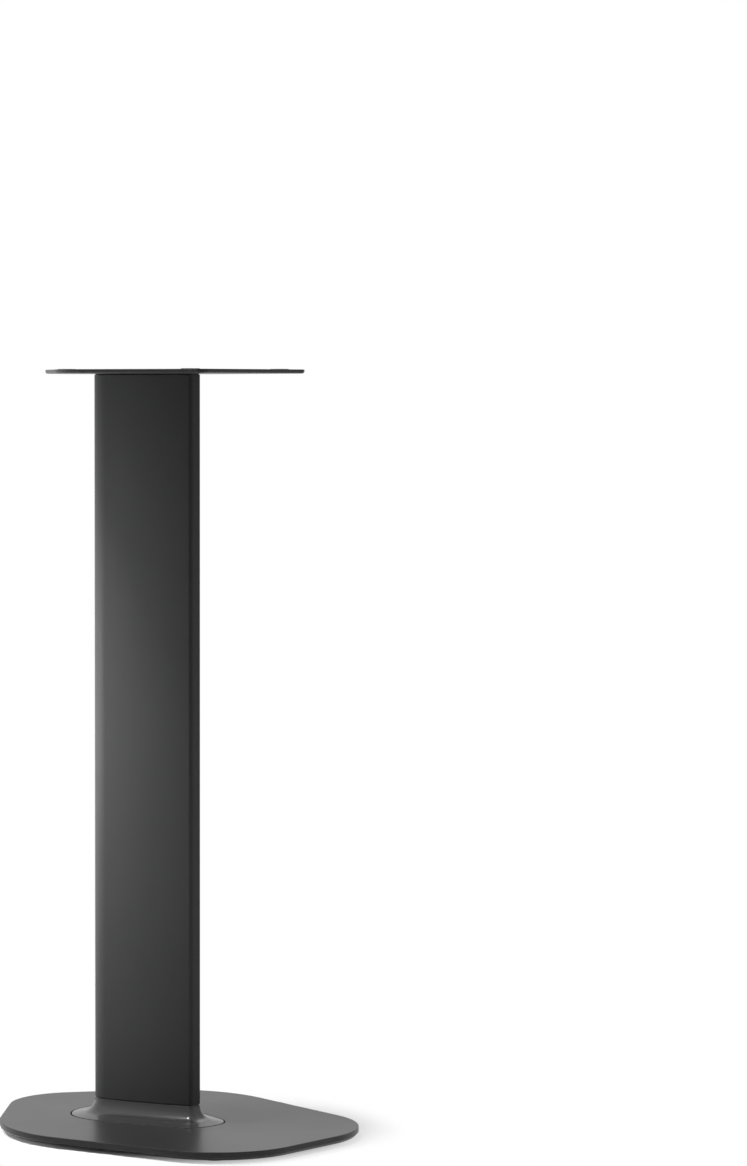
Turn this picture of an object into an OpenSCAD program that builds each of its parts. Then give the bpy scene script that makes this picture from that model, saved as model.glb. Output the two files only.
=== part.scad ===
// Loudspeaker stand: an egg-shaped steel base on four levelling feet, a flared collar let
// into it, a tapered aluminium column with a cable duct, and a thin plate for the speaker.
// The front faces -Y. The origin is on the floor, under the middle of the base plate.

/* [Overall] */
// Height of the top plate's upper face above the floor
total_h = 745; // [560:5:900]

/* [Base plate] */
// Width across the widest part
base_w = 301; // [280:1:340]
// Depth from the front edge to the rear tip
base_d = 376; // [365:1:420]
// Thickness of the plate
base_t = 8; // [8:0.5:12]
// Width of the straight part of the front edge
base_front_flat = 73; // [60:1:90]
// Radius of the front corners
base_front_r = 89; // [80:1:95]
// Radius of the bulge on each side
base_side_r = 122; // [115:1:128]
// How far the widest part lies behind the middle
base_side_back = 31; // [20:1:40]
// Radius of the rear tip
base_rear_r = 70; // [60:1:80]
// Width of the chamfer along the upper edge
base_edge = 0.8; // [0.4:0.1:1.5]
// Width and height of the undercut along the lower edge
base_under = 3; // [2:0.1:4.5]
// Depth of the pocket that takes the collar
pocket_depth = 4; // [3.5:0.1:4.4]

/* [Column] */
// Width at the widest, near the back
column_w = 66.5; // [60:0.5:76]
// Depth from the nose to the back
column_d = 116; // [105:0.5:130]
// How far the back face lies behind the middle of the base
column_back = 77; // [65:0.5:85]
// Width of the flat on the back
column_flat = 24; // [24:0.5:28]
// Width of the nose
nose_w = 16.6; // [15.6:0.2:20]
// Radius of the two nose corners
nose_r = 4.5; // [4:0.1:6]
// Thickness of the extruded wall
wall = 2.5; // [2:0.1:3]
// Thickness of the web between the cable duct and the front chamber
web_t = 2; // [1.5:0.1:3]
// Share of the column's depth that the cable duct takes
duct_share = 0.52; // [0.48:0.01:0.56]

/* [Collar] */
// Height of the collar above the base plate
collar_h = 16.5; // [15:0.5:22]
// How far the collar spreads beyond the column
collar_spread = 23.8; // [20:0.2:27]
// Radius of the concave flare
flare_r = 14.6; // [12:0.1:15.6]
// Height of the spigots that locate the column
spigot_h = 10; // [8:0.5:14]
// Gap round the collar's rim
collar_gap = 0.5; // [0.3:0.1:0.8]
// Thickness of the gaskets at the joints
gasket_t = 1; // [0.5:0.1:1.2]

/* [Top plate] */
// Width across the widest part
top_w = 209; // [196:1:230]
// Depth from front to back
top_d = 237.5; // [220:0.5:260]
// Thickness of the plate
top_t = 4; // [3.6:0.1:6]
// Width across the front corners
top_front_w = 156; // [146:1:166]
// How far the plate's middle lies behind the middle of the base
top_back = 3; // [0:0.5:8]
// Radius of the front corners
top_corner_r = 10; // [8:1:20]
// Radius of the bulge on each side
top_side_r = 60; // [50:1:66]
// How far the widest part lies behind the plate's own middle
top_side_back = 23; // [15:1:28]
// Width of the straight part of the rear edge
top_rear_flat = 60; // [50:1:70]
// Radius of the rear corners
top_rear_r = 33; // [28:1:38]
// Spacing of the speaker's screw holes, left to right
speaker_bolt_x = 120; // [110:1:130]
// Spacing of the speaker's screw holes, front to back
speaker_bolt_y = 100; // [90:1:110]
// Diameter of the speaker's screw holes
speaker_hole_d = 6.5; // [5:0.1:8]
// Diameter of the soft pads that the speaker stands on
top_pad_d = 18; // [12:1:22]
// Thickness of those pads
top_pad_t = 0.6; // [0.5:0.1:2]

/* [Cable ports] */
// Width of the slots in the column's back
port_w = 19; // [16:0.5:19]
// Height of the slots
port_h = 40; // [32:1:46]
// Height of the lower slot's middle above the collar
port_low = 63; // [50:1:90]
// Depth of the upper slot's middle below the top plate
port_high = 52; // [45:1:80]
// Thickness of a grommet's lips
lip_t = 1.5; // [1:0.1:2]
// Overlap of a grommet's lips on the wall
lip_w = 2.4; // [1.8:0.1:2.4]
// Thickness of the rubber inside a slot
grommet_wall = 2; // [1.5:0.1:2.5]

/* [Feet] */
// Gap between the base plate and the floor
foot_gap = 3; // [2.8:0.1:4]
// Diameter of a foot
foot_d = 28; // [24:1:32]
// How far a foot screws out
foot_travel = 2.5; // [1:0.5:3]
// Diameter of a foot's thread
foot_thread_d = 8; // [6:1:10]

/* [Screws] */
// Diameter of the assembly screws
screw_d = 6; // [5:0.5:6]
// Length of thread that bites in the column
screw_bite = 18; // [12:1:30]

/* [Hidden] */
$fn = 96;

// Clearances and cuts
over = 1;                  // overrun of every cut past the face that it opens
hair = 0.03;               // flats lie this far inside the true tangents, for a sound union
thread_clear = 0.05;       // a screw or stud in its own thread
pass_clear = 0.3;          // a screw in a hole that it only passes through
spigot_clear = 0.25;       // a spigot in the column, and a grommet in its slot
lip_clear = 0.1;           // a grommet's lips off the wall that they hold
seat_gap = 0.2;            // a screw head below its face, and a foot below its stop
gasket_inset = 0.5;        // a gasket's edge inside the column's face
facet_turn = 4;            // degrees that each facet of a lofted rim turns through
flare_turn = 80;           // degrees of the flare's arc, before it runs out straight
flare_steps = 8;

// Heights
base_top = foot_gap + base_t;
pocket_z = base_top - pocket_depth;
flange_z = pocket_z + gasket_t;
collar_top = base_top + collar_h;
column_z = collar_top + gasket_t;
plate_z = total_h - top_t;
column_end = plate_z - gasket_t;
column_h = column_end - column_z;
low_port_z = collar_top + port_low;
high_port_z = plate_z - port_high;

// Outlines: circles [x, y, r], counter-clockwise, joined by the lines that touch them
base_outline = [
    [-base_front_flat / 2, base_front_r - base_d / 2, base_front_r],
    [base_front_flat / 2, base_front_r - base_d / 2, base_front_r],
    [base_w / 2 - base_side_r, base_side_back, base_side_r],
    [0, base_d / 2 - base_rear_r, base_rear_r],
    [base_side_r - base_w / 2, base_side_back, base_side_r],
];
nose_y = column_back - column_d;
column_rear_r = (column_w - column_flat) / 2;
column_outline = [
    [nose_r - nose_w / 2, nose_y + nose_r, nose_r],
    [nose_w / 2 - nose_r, nose_y + nose_r, nose_r],
    [column_flat / 2, column_back - column_rear_r, column_rear_r],
    [-column_flat / 2, column_back - column_rear_r, column_rear_r],
];
top_front_y = top_back - top_d / 2;
top_rear_y = top_back + top_d / 2;
top_outline = [
    [top_corner_r - top_front_w / 2, top_front_y + top_corner_r, top_corner_r],
    [top_front_w / 2 - top_corner_r, top_front_y + top_corner_r, top_corner_r],
    [top_w / 2 - top_side_r, top_back + top_side_back, top_side_r],
    [top_rear_flat / 2, top_rear_y - top_rear_r, top_rear_r],
    [-top_rear_flat / 2, top_rear_y - top_rear_r, top_rear_r],
    [top_side_r - top_w / 2, top_back + top_side_back, top_side_r],
];

// Edges of the top plate, as shares of its thickness
top_edge_share = 0.12;
top_under_share = 0.62;
top_edge = top_edge_share * top_t;
top_under = top_under_share * top_t;

// Screw ports of the extrusion: two beside the duct and one in the nose
port_bore_r = screw_d / 2 + thread_clear;
port_boss_r = port_bore_r + wall;
boss_inset = wall / 2 + port_boss_r;
web_y = column_back - duct_share * column_d;
screw_ports = [
    [column_w / 2 - boss_inset, column_back - column_rear_r],
    [boss_inset - column_w / 2, column_back - column_rear_r],
    [0, nose_y + boss_inset],
];

// Countersunk screws with a hexagon socket
head_r = screw_d;
socket_d = 0.76 * screw_d;
socket_t = 0.4 * screw_d;

// Feet, from the floor up: sole, disc and stud
sole_t = 0.4 * foot_gap;
disc_t = 0.93 * foot_gap;
sole_pin_r = 0.11 * foot_d;
sole_pin_t = 0.36 * disc_t;
sole_slack = 0.1;          // between the sole and the disc that turns on it
stud_seat_t = 0.4 * disc_t;
disc_top = sole_t + sole_slack + disc_t;
recess_gap = 1.5;          // round the disc, in the recess that it turns in
recess_r = foot_d / 2 + recess_gap;
recess_top = disc_top + seat_gap;
stud_grip = 2.6;           // thread that still holds a foot when it is fully out
stud_end = recess_top + stud_grip + foot_travel;
thread_end = stud_end + seat_gap;
knurls = 36;               // grooves round a foot's disc
knurl_r = 0.5;

// Each foot's place: a circle of the base plate's outline, and shares of its radius
foot_shares = [[0, -0.51, -0.415], [1, 0.51, -0.415], [4, -0.463, 0.598], [2, 0.463, 0.598]];
foot_places = [
    for (f = foot_shares)
        let (c = base_outline[f[0]])
        [c[0] + f[1] * c[2], c[1] + f[2] * c[2]]
];

// Soft pads under the speaker, as shares of the top plate's half width and half depth
top_pad_shares = [[-0.62, -0.78], [0.62, -0.78], [-0.62, 0.58], [0.62, 0.58]];

// Directions of the outward normals on the lines from each circle to the next
function normals(o) = [
    for (i = [0:len(o) - 1])
        let (to = o[(i + 1) % len(o)] - o[i])
        atan2(to[1], to[0]) - acos(-to[2] / norm([to[0], to[1]]))
];
function before(list, i) = list[i == 0 ? len(list) - 1 : i - 1];
function around(c, r, angle) = [c[0] + r * cos(angle), c[1] + r * sin(angle)];

// Points along the outline, grown outwards by grow
function ring(o, grow) =
    let (n = normals(o))
    [
        for (i = [0:len(o) - 1])
            let (turn = (n[i] - before(n, i) + 720) % 360, steps = ceil(turn / facet_turn))
            for (k = [0:steps])
                around(o[i], o[i][2] + grow, before(n, i) + turn * k / steps)
    ];

// Solid whose outline grows as a section says: [grow, height] pairs, from the bottom up
module loft(o, section) {
    rings = [for (s = section) [for (p = ring(o, s[0])) [p[0], p[1], s[1]]]];
    count = len(rings[0]);
    top = len(section) - 1;
    polyhedron(
        points = [for (r = rings) each r],
        faces = [
            [for (k = [0:count - 1]) k],
            [for (k = [count - 1:-1:0]) top * count + k],
            for (b = [0:top - 1], k = [0:count - 1])
                let (low = b * count, next = (k + 1) % count)
                [low + k, low + count + k, low + count + next, low + next],
        ]
    );
}

// The outline as a flat shape with true arcs, grown outwards by grow
module outline(o, grow = 0) {
    n = normals(o);
    polygon([
        for (i = [0:len(o) - 1], a = [before(n, i), n[i]])
            around(o[i], o[i][2] + grow - hair, a)
    ]);
    for (c = o) translate([c[0], c[1]]) circle(c[2] + grow);
}

module prism(o, grow, h) {
    linear_extrude(h) outline(o, grow);
}

// Section of a plate's rim: a wide undercut below and a narrow chamfer above
function plate_section(t, under, edge) =
    [[-under, 0], [0, under], [0, t - edge], [-edge, t]];

// Section of the collar: a thin outer rim, a straight slope, and a concave flare that
// ends upright against the column
function collar_section(t) =
    let (
        flare = [
            for (k = [flare_steps:-1:0])
                around([flare_r, t], flare_r, 180 + flare_turn * k / flare_steps)
        ],
        drop = (collar_spread - flare[0][0]) / tan(flare_turn)
    )
    concat([[collar_spread, 0], [collar_spread, flare[0][1] - drop]], flare);

// Upright slot with round ends, cut through from front to back
module slot(w, h, depth) {
    rotate([90, 0, 0])
        linear_extrude(depth, center = true) {
            square([w, h - w], center = true);
            for (side = [-1, 1]) translate([0, side * (h - w) / 2]) circle(d = w);
        }
}

// The two chambers inside the extrusion, drawn in by clear from every wall
module chambers(clear = 0) {
    difference() {
        outline(column_outline, -wall - clear);
        for (p = screw_ports) translate(p) circle(port_boss_r + clear);
        translate([-column_w / 2, web_y - web_t / 2 - clear])
            square([column_w, web_t + 2 * clear]);
        translate([-column_w / 2, nose_y - over])
            square([column_w, boss_inset + over + clear]);
    }
}

module at_screws(z) {
    for (p = screw_ports) translate([p[0], p[1], z]) children();
}

module at_foot(i, z) {
    translate([foot_places[i][0], foot_places[i][1], z]) children();
}

module screw_holes(z, h) {
    at_screws(z - over) cylinder(r = screw_d / 2 + pass_clear, h = h + 2 * over);
}

// Countersunk screw, with its head down on z = 0 and its shank upwards
module countersunk_screw(length) {
    difference() {
        union() {
            cylinder(r1 = head_r, r2 = screw_d / 2, h = screw_d / 2);
            cylinder(r = screw_d / 2, h = length);
        }
        translate([0, 0, -over]) cylinder(d = socket_d, h = socket_t + over, $fn = 6);
    }
}

// Hole and countersink for that screw, from the face at z = 0 upwards
module countersink(depth) {
    translate([0, 0, -over]) {
        cylinder(r = screw_d / 2 + pass_clear, h = depth + 2 * over);
        cylinder(r = head_r + pass_clear, h = seat_gap + over);
    }
    translate([0, 0, seat_gap])
        cylinder(r1 = head_r + pass_clear, r2 = screw_d / 2 + pass_clear, h = screw_d / 2);
}

module base_plate() {
    color("#2f3033")
        difference() {
            translate([0, 0, foot_gap])
                loft(base_outline, plate_section(base_t, base_under, base_edge));
            translate([0, 0, pocket_z])
                prism(column_outline, collar_spread + collar_gap, pocket_depth + over);
            at_screws(foot_gap) countersink(base_t);
            for (i = [0:len(foot_places) - 1])
                at_foot(i, foot_gap - over) {
                    cylinder(r = recess_r, h = recess_top - foot_gap + over);
                    cylinder(d = foot_thread_d, h = thread_end - foot_gap + over);
                }
        }
}

module collar_gasket() {
    color("#161616")
        difference() {
            translate([0, 0, pocket_z])
                prism(column_outline, collar_spread - gasket_inset, gasket_t);
            screw_holes(pocket_z, gasket_t);
        }
}

module collar() {
    flange_t = collar_top - flange_z;
    color("#303134")
        difference() {
            union() {
                translate([0, 0, flange_z]) loft(column_outline, collar_section(flange_t));
                translate([0, 0, collar_top - over])
                    linear_extrude(spigot_h + over) chambers(spigot_clear);
            }
            screw_holes(flange_z, flange_t);
        }
}

module gasket_ring(z) {
    color("#161616")
        translate([0, 0, z])
            linear_extrude(gasket_t)
                difference() {
                    outline(column_outline, -gasket_inset);
                    outline(column_outline, -wall);
                }
}

module column() {
    color("#3a3b3e")
        difference() {
            translate([0, 0, column_z])
                linear_extrude(column_h)
                    difference() {
                        outline(column_outline);
                        chambers();
                        for (p = screw_ports) translate(p) circle(port_bore_r);
                    }
            for (z = [low_port_z, high_port_z])
                translate([0, column_back - wall / 2, z])
                    slot(port_w, port_h, wall + 2 * over);
        }
}

module grommet(z) {
    hole = [port_w - 2 * grommet_wall, port_h - 2 * grommet_wall];
    groove = wall + 2 * lip_clear;
    color("#121212")
        translate([0, column_back - wall / 2, z])
            difference() {
                union() {
                    slot(port_w - 2 * spigot_clear, port_h - 2 * spigot_clear, groove + lip_t);
                    for (side = [-1, 1])
                        translate([0, side * (groove + lip_t) / 2, 0])
                            slot(port_w + 2 * lip_w, port_h + 2 * lip_w, lip_t);
                }
                slot(hole[0], hole[1], groove + 2 * lip_t + 2 * over);
            }
}

module top_plate() {
    color("#2f3033")
        difference() {
            translate([0, 0, plate_z])
                loft(top_outline, plate_section(top_t, top_under, top_edge));
            for (x = [-1, 1], y = [-1, 1])
                translate([x * speaker_bolt_x / 2, y * speaker_bolt_y / 2, plate_z - over])
                    cylinder(d = speaker_hole_d, h = top_t + 2 * over);
            at_screws(total_h) mirror([0, 0, 1]) countersink(top_t);
        }
}

module top_pads() {
    color("#1b1b1c")
        for (p = top_pad_shares)
            translate([p[0] * top_w / 2, top_back + p[1] * top_d / 2, total_h])
                cylinder(d = top_pad_d, h = top_pad_t);
}

module base_screws() {
    color("#6b6c70")
        at_screws(foot_gap + seat_gap)
            countersunk_screw(column_z + screw_bite - foot_gap - seat_gap);
}

module top_screws() {
    color("#6b6c70")
        at_screws(total_h - seat_gap)
            mirror([0, 0, 1]) countersunk_screw(top_t - seat_gap + gasket_t + screw_bite);
}

// Soft sole that stands on the floor, with a pin that the disc turns on
module foot_sole(i) {
    color("#101010")
        at_foot(i, 0) {
            cylinder(d = foot_d - 2 * sole_slack, h = sole_t);
            cylinder(r = sole_pin_r, h = sole_t + sole_pin_t);
        }
}

module foot_disc(i) {
    color("#26272a")
        at_foot(i, sole_t + sole_slack)
            difference() {
                cylinder(d = foot_d, h = disc_t);
                translate([0, 0, -over])
                    cylinder(r = sole_pin_r + thread_clear, h = sole_pin_t + over);
                translate([0, 0, disc_t - stud_seat_t])
                    cylinder(d = foot_thread_d, h = stud_seat_t + over);
                for (k = [1:knurls])
                    rotate([0, 0, 360 * k / knurls])
                        translate([foot_d / 2 + knurl_r / 2, 0, -over])
                            cylinder(r = knurl_r, h = disc_t + 2 * over);
            }
}

module foot_stud(i) {
    seat = disc_top - stud_seat_t;
    color("#a0a1a5")
        at_foot(i, seat)
            cylinder(d = foot_thread_d - 2 * thread_clear, h = stud_end - seat);
}

base_plate();
collar_gasket();
collar();
gasket_ring(collar_top);  // column_gasket
column();
gasket_ring(column_end);  // top_gasket
top_plate();
top_pads();
base_screws();
top_screws();
grommet(low_port_z);  // lower_grommet
grommet(high_port_z);  // upper_grommet
foot_disc(0);  // foot_disc_fl
foot_disc(1);  // foot_disc_fr
foot_disc(2);  // foot_disc_rl
foot_disc(3);  // foot_disc_rr
foot_stud(0);  // foot_stud_fl
foot_stud(1);  // foot_stud_fr
foot_stud(2);  // foot_stud_rl
foot_stud(3);  // foot_stud_rr
foot_sole(0);  // foot_sole_fl
foot_sole(1);  // foot_sole_fr
foot_sole(2);  // foot_sole_rl
foot_sole(3);  // foot_sole_rr
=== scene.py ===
"""Looks of a loudspeaker stand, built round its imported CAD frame.

Sizes are in millimetres in the classes, and in metres in the meshes. The front faces -Y.
"""

import logging
import math
from collections.abc import Sequence
from dataclasses import dataclass
from enum import Enum
from functools import partialmethod

import bmesh
import bpy
from mathutils import Matrix, Vector


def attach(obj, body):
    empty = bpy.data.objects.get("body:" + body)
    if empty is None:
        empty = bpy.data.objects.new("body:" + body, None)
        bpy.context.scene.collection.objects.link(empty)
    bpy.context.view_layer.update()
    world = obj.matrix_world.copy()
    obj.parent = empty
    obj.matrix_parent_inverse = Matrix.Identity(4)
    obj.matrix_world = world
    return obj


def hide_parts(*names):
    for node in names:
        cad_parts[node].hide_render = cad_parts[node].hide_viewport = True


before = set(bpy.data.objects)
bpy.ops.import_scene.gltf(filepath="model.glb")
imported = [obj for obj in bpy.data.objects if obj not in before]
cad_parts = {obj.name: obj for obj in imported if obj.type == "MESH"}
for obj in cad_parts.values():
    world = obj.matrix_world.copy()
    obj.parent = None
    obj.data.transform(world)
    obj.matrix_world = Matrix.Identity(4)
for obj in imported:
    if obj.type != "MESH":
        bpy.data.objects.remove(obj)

MM = 0.001
PAST = 5.0  # how far a cutter reaches past what it cuts
OVER = 2.0  # how far a bore reaches past a plate's face
SEAT = 0.2  # how deep the screws' heads lie
PASS_R, SINK_R, SINK = 3.3, 6.3, 3.0  # a screw's bore, and its countersink's radius and depth
WHITE = (1.0, 1.0, 1.0, 1.0)
LOG = logging.getLogger("stand")

Pair = tuple[float, float]
Triple = tuple[float, float, float]
Rings = list[list[Vector]]
Thing = bpy.types.Object
Socket = bpy.types.NodeSocket
Sockets = bpy.types.bpy_prop_collection


# Outlines and sections


@dataclass(frozen=True)
class Arc:
    """A corner of an outline: the circle that the outline goes round."""

    x: float
    y: float
    r: float


def mirrored(*right: Arc) -> tuple[Arc, ...]:
    """Complete an outline's arcs from those of its right half, front to rear."""
    left = [Arc(-arc.x, arc.y, arc.r) for arc in right[::-1] if arc.x]
    return (left[-1], *right, *left[:-1])


@dataclass(frozen=True)
class Outline:
    """A closed outline in plan: arcs, joined by the lines that touch them both."""

    arcs: tuple[Arc, ...]
    step: float = 2.0

    def rail(self) -> list[tuple[Vector, Vector]]:
        """Walk round the outline, counter-clockwise.

        Returns:
            Points in millimetres, each with its outward direction.
        """
        normals, found = [], []
        for a, b in zip(self.arcs, self.arcs[1:] + self.arcs[:1]):
            away = math.hypot(b.x - a.x, b.y - a.y)
            lean = math.degrees(math.acos(max(-1.0, min(1.0, (a.r - b.r) / away))))
            normals.append(math.degrees(math.atan2(b.y - a.y, b.x - a.x)) - lean)
        for i, arc in enumerate(self.arcs):
            turn = (normals[i] - normals[i - 1] + 720) % 360
            steps = math.ceil(turn / self.step)
            for k in range(steps + 1):
                angle = math.radians(normals[i - 1] + turn * k / steps)
                out = Vector((math.cos(angle), math.sin(angle), 0))
                found.append((Vector((arc.x, arc.y, 0)) + out * arc.r, out))
        return found

    def rings(self, section: Sequence[Pair]) -> Rings:
        """Carry a section's pairs of growth and height round the outline, from the bottom up."""
        rail = self.rail()
        return [[p + out * grow + Vector((0, 0, z)) for p, out in rail] for grow, z in section]


def rounded(corners: Sequence[Triple], hold: float = 0.4, steps: int = 5) -> list[Pair]:
    """Round the corners of an open section, and hold the flats beside them.

    Args:
        corners: the section's corners, each as growth, height and radius.
        hold: how far from a rounding an extra point keeps the flat face flat.
        steps: how many facets a rounding has.

    Returns:
        The points of the rounded section.
    """
    found: list[Pair] = []
    for i, (x, y, radius) in enumerate(corners):
        here = Vector((x, y))
        if radius == 0:
            found.append((x, y))
            continue
        u = (here - Vector(corners[i - 1][:2])).normalized()
        v = (Vector(corners[i + 1][:2]) - here).normalized()
        turn = math.atan2(u.x * v.y - u.y * v.x, u.dot(v))
        back = radius * math.tan(abs(turn) / 2)
        side = Vector((-u.y, u.x)) * math.copysign(radius, turn)
        start = here - u * back
        found.append(tuple(start - u * hold))
        for k in range(steps + 1):
            arm = Matrix.Rotation(turn * k / steps, 2) @ -side
            found.append(tuple(start + side + arm))
        found.append(tuple(here + v * (back + hold)))
    return found


@dataclass(frozen=True)
class Thread:
    """A screw thread on a turned piece, between two heights."""

    pitch: float
    depth: float
    start: float
    end: float
    levels_per_turn: int = 5

    def cut(self, z: float, angle: float) -> float:
        """Find the depth of the groove at a height, and at an angle in radians."""
        ends, wave = min(z - self.start, self.end - z), z / self.pitch - angle / math.tau
        return self.depth * max(0.0, min(1.0, ends / self.pitch)) * (1 - abs(2 * (wave % 1) - 1))

    def levels(self) -> list[float]:
        """List the heights that a mesh needs to show the thread."""
        count = round((self.end - self.start) / self.pitch * self.levels_per_turn)
        return [self.start + (self.end - self.start) * k / count for k in range(count + 1)]


def turned(profile: Sequence[Pair], count: int = 64, thread: Thread | None = None) -> Rings:
    """Turn a profile round the Z axis.

    Args:
        profile: pairs of radius and height, from the bottom up.
        count: how many points each ring has.
        thread: a thread that is cut into the piece, if it has one.

    Returns:
        One ring of points for each pair.
    """
    rings = []
    for r, z in profile:
        ring = []
        for k in range(count):
            angle = math.tau * k / count
            real = r - (thread.cut(z, angle) if thread else 0)
            ring.append(Vector((real * math.cos(angle), real * math.sin(angle), z)))
        rings.append(ring)
    return rings


# Meshes


def link(obj: Thing) -> Thing:
    """Put an object in the scene and return it."""
    bpy.context.scene.collection.objects.link(obj)
    return obj


def skin(name: str, rings: Rings, at: Vector | None = None) -> Thing:
    """Make a closed mesh through rings.

    Args:
        name: the object's name.
        rings: rings of equal count, in millimetres, from the bottom up.
        at: where the rings' own origin goes, in millimetres.

    Returns:
        The object, at the origin, with its place in its mesh.
    """
    shift = at or Vector()
    count = len(rings[0])
    last = (len(rings) - 1) * count
    faces = [list(range(count - 1, -1, -1))]
    for low in range(0, last, count):
        for k in range(count):
            then = (k + 1) % count
            faces.append([low + k, low + then, low + count + then, low + count + k])
    faces.append(list(range(last, last + count)))
    mesh = bpy.data.meshes.new(name)
    mesh.from_pydata([(p + shift) * MM for ring in rings for p in ring], [], faces)
    return link(bpy.data.objects.new(name, mesh))


def path_object(name: str, points: Sequence[Vector], closed: bool = True) -> Thing:
    """Make an object of points, joined by edges if they are a closed path.

    Args:
        name: the object's name.
        points: the points, in millimetres.
        closed: whether edges join them in a ring.

    Returns:
        The object.
    """
    mesh = bpy.data.meshes.new(name)
    count = len(points)
    edges = [(k, (k + 1) % count) for k in range(count)] if closed else []
    mesh.from_pydata([p * MM for p in points], edges, [])
    return link(bpy.data.objects.new(name, mesh))


def block(low: Sequence[float], high: Sequence[float], name: str = "cutter") -> Thing:
    """Make a box between its lowest and its highest corner."""
    plan = [(low[0], low[1]), (high[0], low[1]), (high[0], high[1]), (low[0], high[1])]
    return skin(name, [[Vector((x, y, z)) for x, y in plan] for z in (low[2], high[2])])


def bores(profile: Sequence[Pair], places: Sequence[Pair], count: int) -> list[Thing]:
    """Make a cutter, turned from a profile, at each place in plan."""
    rings = turned(profile, count)
    return [skin("cutter", rings, Vector((x, y, 0))) for x, y in places]


def drills(
    r: float, low: float, high: float, places: Sequence[Pair], count: int = 64
) -> list[Thing]:
    """Make a straight round cutter, between two heights, at each place in plan."""
    return bores([(r, low), (r, high)], places, count)


def evaluate(obj: Thing) -> Thing:
    """Turn an object's modifiers into its own plain mesh.

    Args:
        obj: the object.

    Returns:
        The same object, with no modifier left.
    """
    bpy.context.view_layer.update()
    ready = obj.evaluated_get(bpy.context.evaluated_depsgraph_get())
    mesh = bpy.data.meshes.new_from_object(ready)
    old = obj.data
    obj.modifiers.clear()
    obj.data = mesh
    mesh.name = obj.name
    bpy.data.meshes.remove(old)
    return obj


def remove(obj: Thing) -> None:
    """Take a helper object and its mesh out of the file.

    Args:
        obj: the helper.
    """
    mesh = obj.data
    bpy.data.objects.remove(obj)
    bpy.data.meshes.remove(mesh)


def carve(obj: Thing, others: Sequence[Thing], join: bool = False) -> Thing:
    """Cut other solids out of an object, or add them to it.

    Args:
        obj: the object.
        others: the solids, which are used up.
        join: whether they are added.

    Returns:
        The same object, as a plain mesh.
    """
    for other in others:
        tool = obj.modifiers.new("carve", "BOOLEAN")
        tool.operation = "UNION" if join else "DIFFERENCE"
        tool.solver = "EXACT"
        tool.object = other
    evaluate(obj)
    for other in others:
        remove(other)
    return obj


def smooth(obj: Thing) -> Thing:
    """Merge a mesh's doubles, face it outwards, and shade it smooth between its sharp edges.

    Args:
        obj: the object.

    Returns:
        The same object.
    """
    double, speck, sharp = 2e-6, 1e-6, math.radians(32)
    work = bmesh.new()
    work.from_mesh(obj.data)
    bmesh.ops.remove_doubles(work, verts=work.verts, dist=double)
    bmesh.ops.dissolve_degenerate(work, edges=work.edges, dist=speck)
    if work.calc_volume(signed=True) < 0:
        bmesh.ops.reverse_faces(work, faces=work.faces)
    work.to_mesh(obj.data)
    work.free()
    obj.data.shade_smooth()
    obj.data.set_sharp_from_angle(angle=sharp)
    return obj


# Node trees


class Nodes:
    """A node tree under construction."""

    def __init__(self, tree: bpy.types.NodeTree) -> None:
        """Start from a tree."""
        self.tree = tree

    @classmethod
    def fresh(cls, owner: bpy.types.ID) -> "Nodes":
        """Give a material or a world an empty tree.

        Args:
            owner: the material or world.

        Returns:
            The tree.
        """
        owner.use_nodes = True
        owner.node_tree.nodes.clear()
        return cls(owner.node_tree)

    def add(self, kind: str, inputs: dict | None = None, **settings: object) -> bpy.types.Node:
        """Add a node.

        Args:
            kind: the node's type.
            inputs: values or sockets for its inputs, by name or number.
            **settings: the node's own properties.

        Returns:
            The node.
        """
        node = self.tree.nodes.new(kind)
        for key, value in settings.items():
            setattr(node, key, value)
        for key, value in (inputs or {}).items():
            if isinstance(value, Socket):
                self.tree.links.new(value, node.inputs[key])
            else:
                node.inputs[key].default_value = value
        return node

    def out(self, kind: str, inputs: dict | None = None, **settings: object) -> Socket:
        """Add a node, and return its first output."""
        return self.add(kind, inputs, **settings).outputs[0]

    def use(self, group: "Group", **inputs: object) -> Sockets:
        """Add a node group with its inputs, and return its outputs."""
        return self.add("ShaderNodeGroup", inputs, node_tree=group.tree).outputs

    def calc(self, operation: str, *values: object, clamp: bool = False) -> Socket:
        """Do arithmetic on numbers or sockets, and return the result."""
        inputs = dict(enumerate(values))
        return self.out("ShaderNodeMath", inputs, operation=operation, use_clamp=clamp)

    plus, minus = partialmethod(calc, "ADD"), partialmethod(calc, "SUBTRACT")
    times = partialmethod(calc, "MULTIPLY")

    def vector(self, operation: str, *values: object) -> Socket:
        """Do arithmetic on vectors, and return the result."""
        node = self.add("ShaderNodeVectorMath", dict(enumerate(values)), operation=operation)
        return node.outputs["Value" if operation == "LENGTH" else "Vector"]

    def shown(self) -> Socket:
        """Find the rays that show a background.

        Returns:
            1 for the camera's rays and those in gloss and glass, and 0 for others.
        """
        path = self.add("ShaderNodeLightPath").outputs
        gloss = self.calc("MAXIMUM", path["Is Glossy Ray"], path["Is Transmission Ray"])
        return self.calc("MAXIMUM", path["Is Camera Ray"], gloss)

    def spread(self, value: Socket, start: float, end: float, first: float, last: float) -> Socket:
        """Carry a value smoothly from the range start to end to the range first to last."""
        inputs = {0: value, 1: start, 2: end, 3: first, 4: last}
        return self.out("ShaderNodeMapRange", inputs, interpolation_type="SMOOTHSTEP")


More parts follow.
